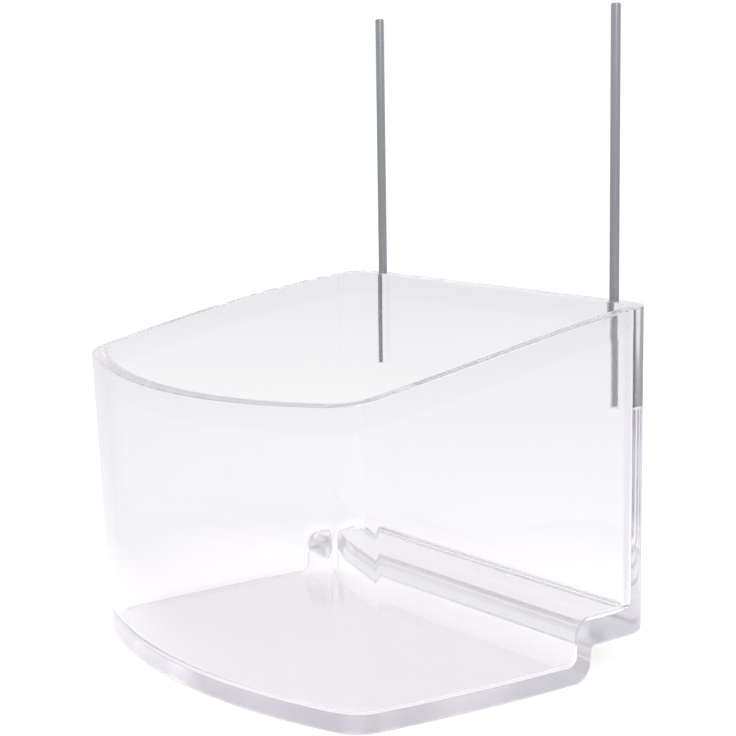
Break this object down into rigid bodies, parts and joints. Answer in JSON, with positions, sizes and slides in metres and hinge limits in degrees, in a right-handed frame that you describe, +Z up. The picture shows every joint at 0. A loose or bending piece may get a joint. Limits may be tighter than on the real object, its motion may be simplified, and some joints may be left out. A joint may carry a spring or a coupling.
{
  "type": "hanging small-pet food cup",
  "caption": "Clear moulded food cup with a flat back, bowed front and stepped rear foot, hung on two straight steel rods in its back wall.",
  "frame": {"origin": "on the surface that the cup stands on, under the middle of the bounding box", "axes": "+Z up along the rods, +Y out of the flat back, -Y out of the bowed front, +X across the cup"},
  "size_m": [0.1056, 0.0866, 0.1349],
  "materials": {
    "clear_plastic": "clear, polished as moulded, faint lavender tint in thick sections",
    "steel_wire": "plain drawn wire, mid grey"
  },
  "bodies": {
    "cup": {"cup": "clear_plastic"},
    "left_rod": {"left_rod": "steel_wire"},
    "right_rod": {"right_rod": "steel_wire"}
  },
  "joints": [
    {"name": "left_rod_withdrawal", "type": "slide", "parent": "cup", "child": "left_rod", "axis": [0, 0, 1], "range_m": [0, 0.026]},
    {"name": "right_rod_withdrawal", "type": "slide", "parent": "cup", "child": "right_rod", "axis": [0, 0, 1], "range_m": [0, 0.026]}
  ]
}
